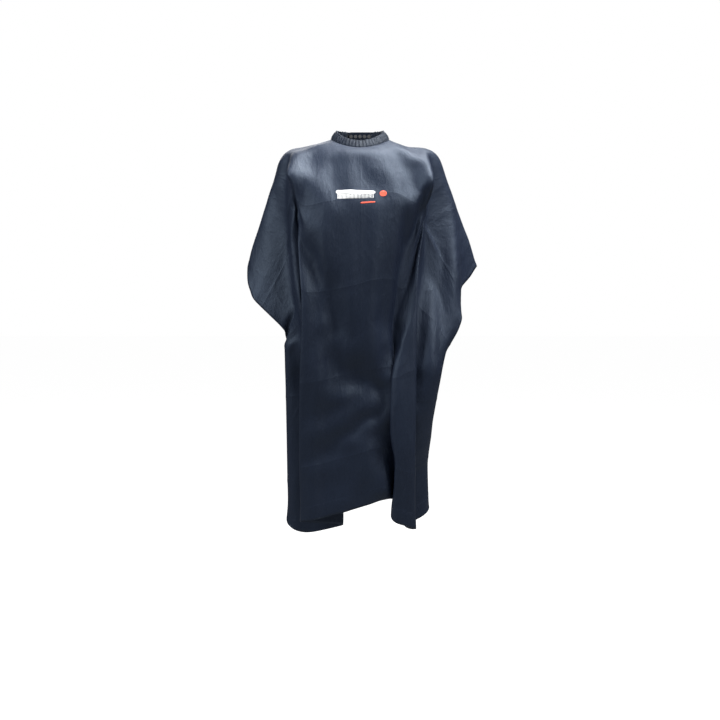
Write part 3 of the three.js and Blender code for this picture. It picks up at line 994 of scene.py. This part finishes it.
class CAPE_OT_studio(bpy.types.Operator):
    """Add the camera, the pale floor and the soft lights"""
    bl_idname = "cape.studio"
    bl_label = "Studio"

    def execute(self, context):
        studio = settings().studio
        camera = bpy.data.objects.new("camera", bpy.data.cameras.new("camera"))
        camera.data.lens = studio.lens
        camera.location = (0, -studio.distance, studio.camera_height)
        aim = Vector((0, 0, studio.aim_height)) - camera.location
        camera.rotation_euler = aim.to_track_quat("-Z", "Y").to_euler()
        context.scene.collection.objects.link(camera)
        context.scene.camera = camera
        self.add_floor(studio)
        for name, place, size, power, color in (
                ("key", (1.8, -1.3, 1.8), 1.2, 104, (1, 0.99, 0.97)),
                ("fill", (-2.4, -1.2, 1.3), 1.4, 82, (0.94, 0.97, 1)),
                ("top", (0.50, 0.10, 1.6), 1.3, 98, (1, 1, 1)),
                ("back", (-0.6, 2.6, 1.2), 1.6, 40, (1, 1, 1))):
            light = bpy.data.lights.new(name, "AREA")
            light.size, light.energy, light.color = size, power, color
            lamp = bpy.data.objects.new(name, light)
            lamp.location = place
            lamp.rotation_euler = (Vector((0, 0, -0.35)) - lamp.location).to_track_quat(
                "-Z", "Y").to_euler()
            context.scene.collection.objects.link(lamp)
        world = context.scene.world = bpy.data.worlds.new("studio")
        backdrop = Nodes(world)
        # The backdrop is white, and lights the cape less than it shows.
        seen = backdrop.node("ShaderNodeLightPath", output="Is Camera Ray")
        level = backdrop.node("ShaderNodeMapRange",
                              inputs={"Value": seen, "To Min": studio.surround, "To Max": 1.0})
        backdrop.surface("ShaderNodeOutputWorld", backdrop.node(
            "ShaderNodeBackground", inputs={"Color": (1, 1, 1, 1), "Strength": level}))
        context.scene.view_settings.view_transform = "Standard"
        return {"FINISHED"}

    def add_floor(self, studio):
        floor = add_mesh("floor", [(-30, -30, studio.floor), (30, -30, studio.floor),
                                   (30, 30, studio.floor), (-30, 30, studio.floor)], [(0, 1, 2, 3)])
        paper = Finish("studio_paper")
        grain = paper.noise(paper.place(), 3.0)
        seen = paper.node("ShaderNodeLightPath", output="Is Camera Ray")
        floor.data.materials.append(paper.finish(
            Base_Color=paper.blend(grain, (0.27, 0.27, 0.27, 1), (0.29, 0.29, 0.29, 1)),
            Roughness=0.9, Emission_Color=(1, 1, 1, 1), Emission_Strength=seen * 0.97))


class CAPE_OT_sheet(bpy.types.Operator):
    """Drape the cape's one sheet of nylon and turn its hems"""
    bl_idname = "cape.sheet"
    bl_label = "Cape sheet"

    def execute(self, context):
        cut = settings().cut
        sheet = DRAPED["sheet"] = DrapedSheet(cut, settings().drape)
        skin, faces = two_sided(sheet.points, sheet.faces, sheet.normals, sheet.half, sheet.half)
        piece = add_mesh("cape_sheet_draped", skin, faces,
                         np.concatenate([sheet.flat[:, :2], sheet.flat[:, :2]]))
        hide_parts("cape_sheet")
        dress(piece, nylon_material())
        DRAPED["piece"] = piece
        return {"FINISHED"}


class CAPE_OT_hem_stitching(bpy.types.Operator):
    """Stitch round the hems, on the outer face of the sheet"""
    bl_idname = "cape.hem_stitching"
    bl_label = "Hem stitching"

    def execute(self, context):
        group = settings()
        stitch = group.neckband.stitch
        runs = hem_runs(DRAPED["sheet"], group.cut, stitch * 1.45, stitch)
        piece = add_stitches("hem_stitching", runs, 0.0003)
        dress(piece, cloth_material("hem_thread", group.finishes.thread, 0.0006, 0.5, 0.04))
        DRAPED["hem"] = piece
        return {"FINISHED"}


class CAPE_OT_neckband(bpy.types.Operator):
    """Sweep the gathered neckband round the neck, with its stitching"""
    bl_idname = "cape.neckband"
    bl_label = "Neckband"

    def execute(self, context):
        band = settings().neckband
        steps, around = 520, 28
        points = []
        for step in range(steps + 1):
            degrees = BAND_END * (2 * step / steps - 1)
            seam, across, up = band_frame(degrees)
            for turn in range(around):
                points.append(self.place(band, degrees, turn / around, seam, across, up))
        faces = [(r * around + c, r * around + (c + 1) % around,
                  (r + 1) * around + (c + 1) % around, (r + 1) * around + c)
                 for r in range(steps) for c in range(around)]
        faces += [tuple(range(around)), tuple(reversed(range(steps * around, len(points))))]
        piece = add_mesh("neckband_gathered", points, faces)
        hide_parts("neckband")
        colors = settings().finishes
        dress(piece, cloth_material("band_nylon_gathered", colors.band, colors.weave, 0.44, 0.02))
        runs = []
        for height in (0.0030, 0.0225):
            count = 118
            for number in range(count):
                start = BAND_END * (2 * (number + 0.15) / count - 1)
                end = BAND_END * (2 * (number + 0.85) / count - 1)
                runs.append((*[self.surface(band, at, height) for at in (start, end)],
                             band_frame(start)[1]))
        stitching = add_stitches("neckband_stitching", runs, 0.00028)
        dress(stitching, cloth_material("band_thread", colors.thread, 0.0006, 0.5, 0.04))
        return {"FINISHED"}

    def gather(self, band, degrees, height):
        """How far a gather stands out of the band here."""
        amount = 0.36 + 0.64 * smooth(28, 78, abs(degrees))
        amount *= 1 - smooth(BAND_END - 7, BAND_END - 1, abs(degrees))
        drift = noise.noise(Vector((degrees * 0.045, 2.0, 0.0))) * 1.3
        lean = noise.noise(Vector((degrees * 0.11, 5.0, height * 60))) * 0.9
        wave = abs(math.sin(degrees / 360 * math.pi * band.gathers + drift + lean))
        pinch = 1 - 0.75 * math.exp(-((height - 0.0225) / 0.0016) ** 2)
        pinch *= 1 - 0.6 * math.exp(-((height - 0.0030) / 0.0016) ** 2)
        return band.gather_depth * amount * (1 - wave ** 1.4) * pinch

    def surface(self, band, degrees, height):
        seam, across, up = band_frame(degrees)
        return seam + up * height + across * (band.thickness / 2 + self.gather(band, degrees, height))

    def place(self, band, degrees, turn, seam, across, up):
        """A point on the band's cross-section: a long loop, outer face first."""
        half, tall = band.thickness / 2, band.height
        angle = 2 * math.pi * turn
        flatness = 0.30
        side = math.copysign(abs(math.cos(angle)) ** flatness, math.cos(angle))
        rise = math.copysign(abs(math.sin(angle)) ** 0.75, math.sin(angle))
        height = tall * (0.5 + 0.5 * rise)
        stand = half * side
        fold = self.gather(band, degrees, height)
        if side > 0:
            stand += fold * min(side * 1.2, 1)
        else:
            stand -= 0.35 * fold * min(-side * 1.2, 1)
        crown = (0.7 * fold - 0.0006) * smooth(0.75, 1.0, height / tall)
        return seam + up * (height + crown) + across * stand


class CAPE_OT_closure(bpy.types.Operator):
    """Sew the two tabs of the back closure and finish their press studs"""
    bl_idname = "cape.closure"
    bl_label = "Back closure"

    def execute(self, context):
        colors = settings().finishes
        cloth = cloth_material("tab_nylon", colors.band, colors.weave, 0.46, 0.02)
        thread = cloth_material("tab_thread", colors.thread, 0.0006, 0.5, 0.04)
        for node, body, tip in (("closure_tab", "closure_tab", 1), ("under_tab", "root", -1)):
            piece = self.tab(node, tip)
            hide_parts(node)
            dress(piece, cloth, body)
            stitches = self.stitches(node, tip)
            dress(stitches, thread, body)
        nickel = nickel_material()
        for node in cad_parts:
            if node.startswith(("stud", "socket")):
                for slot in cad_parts[node].material_slots:
                    slot.material = nickel
        elastic = elastic_material()
        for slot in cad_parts["neck_elastic"].material_slots:
            slot.material = elastic
        return {"FINISHED"}

    def outline(self, low, high, tip, share, inset=0.0, root_inset=-0.00025):
        """A point round the tab: square at its root, against the band, and round at its tip."""
        bottom, top = low.z + inset, high.z - inset
        half = (top - bottom) / 2
        corner = half * 0.55
        root, end = (low.x, high.x - inset) if tip > 0 else (high.x, low.x + inset)
        root += tip * root_inset
        straight = abs(end - root) - corner
        turn = math.pi / 2 * corner
        round_tip = 2 * (straight + turn + half - corner)
        at = share * (round_tip + 2 * half)
        if at > round_tip:
            return root, top - (at - round_tip)
        near = min(at, round_tip - at)      # the upper edge mirrors the lower one
        angle = min(max((near - straight) / corner, 0), math.pi / 2)
        x = root + tip * (min(near, straight) + corner * math.sin(angle))
        rise = corner - corner * math.cos(angle) + max(near - straight - turn, 0)
        return x, bottom + rise if near == at else top - rise

    def tab(self, node, tip):
        """A folded strip: thin at its pressed edge, full inside, dimpled along its stitching."""
        low, high = (Vector(corner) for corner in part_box(node))
        middle, half = (low.y + high.y) / 2, (high.y - low.y) / 2
        around = 120
        rings = [(0.0, 0.25), (0.0004, 0.75), (0.0011, 1.0), (0.0022, 0.72), (0.0034, 0.95),
                 (0.0060, 1.0), (0.0090, 1.0)]
        points, faces = [], []
        for sign in (-1, 1):
            first = len(points)
            for inset, full in rings:
                for turn in range(around):
                    x, z = self.outline(low, high, tip, turn / around, inset)
                    ripple = 0.04 * noise.noise(Vector((x * 260, z * 260, sign)))
                    points.append((x, middle + sign * half * min(full + ripple, 1), z))
            for ring in range(len(rings) - 1):
                for turn in range(around):
                    a, b = first + ring * around + turn, first + ring * around + (turn + 1) % around
                    quad = (a, b, b + around, a + around)
                    faces.append(quad if sign * tip < 0 else quad[::-1])
            last = first + (len(rings) - 1) * around
            cap = tuple(range(last, last + around))
            faces.append(cap if sign * tip < 0 else cap[::-1])
        other = len(rings) * around
        for turn in range(around):
            a, b = turn, (turn + 1) % around
            quad = (b, a, a + other, b + other)
            faces.append(quad if tip > 0 else quad[::-1])
        return add_mesh(f"{node}_sewn", points, faces)

    def stitches(self, node, tip):
        low, high = (Vector(corner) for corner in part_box(node))
        face = high.y - 0.00015
        count = 44
        runs = []
        for number in range(count):
            ends = [self.outline(low, high, tip, (number + part) / count, 0.0022, 0.0022)
                    for part in (0.15, 0.85)]
            start, end = (Vector((x, face, z)) for x, z in ends)
            runs.append((start, end, Vector((0, 1, 0))))
        return add_stitches(f"{node}_stitching", runs, 0.00024)


class CAPE_OT_chest_print(bpy.types.Operator):
    """Print a plain comb, disc and bar on the chest"""
    bl_idname = "cape.chest_print"
    bl_label = "Chest print"

    def search(self, low, high, below):
        """The value between low and high up to which below holds."""
        for _ in range(24):
            middle = (low + high) / 2
            low, high = (middle, high) if below(middle) else (low, middle)
        return (low + high) / 2

    def level(self, sheet, x, height):
        """The flat place whose height on the draped chest is this."""
        return self.search(-0.5, -0.09, lambda y: sheet.at(x, y)[0].z < height)

    def column(self, sheet, place, y):
        """The flat distance across whose place on the draped chest is this."""
        return self.search(-0.2, 0.2, lambda x: sheet.at(x, y)[0].x < place)

    def tilt(self, sheet):
        """The slope on the flat sheet that hangs level across the print."""
        low, high = (Vector(corner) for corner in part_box("print_comb"))
        height = (low.z + high.z) / 2
        ends = [self.level(sheet, x, height) for x in (low.x, high.x)]
        return (ends[1] - ends[0]) / (high.x - low.x)

    def span(self, sheet, node):
        """A print's left, right, lower and upper edges on the flat sheet."""
        low, high = (Vector(corner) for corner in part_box(node))
        y_low, y_high = (self.level(sheet, (low.x + high.x) / 2, z) for z in (low.z, high.z))
        middle = (y_low + y_high) / 2
        return *[self.column(sheet, x, middle) for x in (low.x, high.x)], y_low, y_high

    def comb(self, film, left, right, low, high):
        spine = low + (high - low) * 0.56
        film.bar(left, right, spine, high, round_ends=0.004)
        teeth = 27
        for number in range(teeth):
            share = (number + 0.5) / teeth
            width = 0.0024 * (1 if share < 0.55 else 0.72)
            film.tooth(left + 0.004 + (right - left - 0.008) * share, width, low, spine + 0.0004)

    def bar(self, film, left, right, low, high):
        film.bar(left, right, low, high, round_ends=0.0015)

    def disc(self, film, left, right, low, high):
        film.disc((left + right) / 2, (low + high) / 2, min(right - left, high - low) / 2)

    def execute(self, context):
        sheet = DRAPED["sheet"]
        colors = settings().finishes
        white = ink_material("white_screen_ink", colors.white_ink)
        coral = ink_material("coral_screen_ink", colors.coral_ink)
        slope = self.tilt(sheet)
        DRAPED["print"] = []
        for shape, draw, turn, ink, slot_name in (
                ("comb", self.comb, slope, white, "white_print"),
                ("bar", self.bar, slope, coral, "coral_print"),
                ("disc", self.disc, 0.0, coral, "coral_print")):
            edges = self.span(sheet, f"print_{shape}")
            film = Film(sheet, turn, (edges[0] + edges[1]) / 2)
            draw(film, *edges)
            piece = film.add(f"chest_print_{shape}")
            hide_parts(f"print_{shape}")
            dress(piece, ink)
            DRAPED["print"].append(piece)
        return {"FINISHED"}


class CAPE_OT_care_label(bpy.types.Operator):
    """Hang the blank satin label from the band, inside the back"""
    bl_idname = "cape.care_label"
    bl_label = "Care label"

    def execute(self, context):
        low, high = (Vector(corner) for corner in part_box("care_label"))
        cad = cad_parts["care_label"]
        corners = np.array([vertex.co for vertex in cad.data.vertices])
        middle = corners.mean(0)
        top = corners[corners[:, 2] > middle[2]]
        along = max(((a - b) for a in top for b in top), key=lambda span: np.hypot(span[0], span[1]))
        along = np.array([along[0], along[1], 0]) / np.hypot(along[0], along[1])
        if along[0] < 0:
            along = -along
        out = np.array([-along[1], along[0], 0])
        reach = np.abs((corners - middle) @ along).max()
        thick = np.abs((corners - middle) @ out).max()
        points, columns, rows = [], 16, 30
        for row in range(rows + 1):
            for column in range(columns + 1):
                u, v = column / columns, row / rows
                wave = 0.35 * thick * math.sin(math.pi * u) * (1 - v) ** 2
                z = low.z + (high.z - low.z) * v
                points.append(middle * (1, 1, 0) + along * reach * (2 * u - 1) - out * wave
                              + np.array([0, 0, z]))
        faces = [(r * (columns + 1) + c, r * (columns + 1) + c + 1,
                  (r + 1) * (columns + 1) + c + 1, (r + 1) * (columns + 1) + c)
                 for r in range(rows) for c in range(columns)]
        points = np.array(points)
        skin, rounds = two_sided(points, faces, vertex_normals(points, faces), thick * 0.55,
                                 thick * 0.55)
        piece = add_mesh("care_label_satin", skin, rounds)
        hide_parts("care_label")
        dress(piece, satin_material())
        runs = []
        for number in range(5):
            starts = [middle * (1, 1, 0) + along * reach * (2 * (number + part) / 5 - 1)
                      + np.array([0, 0, high.z - 0.002]) - out * thick * 0.62
                      for part in (0.12, 0.88)]
            runs.append((Vector(starts[0]), Vector(starts[1]), Vector(-out)))
        stitches = add_stitches("care_label_stitching", runs, 0.0002)
        dress(stitches, cloth_material("label_thread", settings().finishes.satin, 0.0005, 0.6, 0.1))
        return {"FINISHED"}


class CAPE_OT_declare(bpy.types.Operator):
    """Work out the area of the cape's cloth laid flat; the area is not reported"""
    bl_idname = "cape.declare"
    bl_label = "Cloth sizes"

    def execute(self, context):
        cut = settings().cut
        area = cut.width * (cut.front + cut.back) - math.pi * cut.neck ** 2
        area -= 2 * (1 - math.pi / 4) * (cut.front_corner ** 2 + cut.back_corner ** 2)
        return {"FINISHED"}


class CAPE_PT_panel(bpy.types.Panel):
    """The cape's sizes, colours and steps"""
    bl_idname = "CAPE_PT_panel"
    bl_label = "Barber cape"
    bl_space_type = "VIEW_3D"
    bl_region_type = "UI"
    bl_category = "Barber cape"

    def draw(self, context):
        layout = self.layout
        for part in ("cut", "drape", "neckband", "finishes", "studio"):
            box = layout.box()
            box.label(text=part.capitalize())
            group = getattr(settings(), part)
            for name in group.__annotations__:
                box.prop(group, name)
        for step in STEPS:
            layout.operator(step.bl_idname)


STEPS = (CAPE_OT_studio, CAPE_OT_sheet, CAPE_OT_hem_stitching, CAPE_OT_neckband,
         CAPE_OT_closure, CAPE_OT_chest_print, CAPE_OT_care_label, CAPE_OT_declare)
CLASSES = (CapeCut, CapeDrape, CapeNeckband, CapeFinishes, CapeStudio, CapeSettings,
           *STEPS, CAPE_PT_panel)


def register():
    for item in CLASSES:
        bpy.utils.register_class(item)
    bpy.types.Scene.barber_cape = PointerProperty(type=CapeSettings)


def unregister():
    del bpy.types.Scene.barber_cape
    for item in reversed(CLASSES):
        bpy.utils.unregister_class(item)


def main():
    register()
    bpy.ops.cape.studio()
    bpy.ops.cape.sheet()
    bpy.ops.cape.hem_stitching()
    bpy.ops.cape.neckband()
    bpy.ops.cape.closure()
    bpy.ops.cape.chest_print()
    bpy.ops.cape.care_label()
    bpy.ops.cape.declare()


if __name__ == "__main__":
    main()
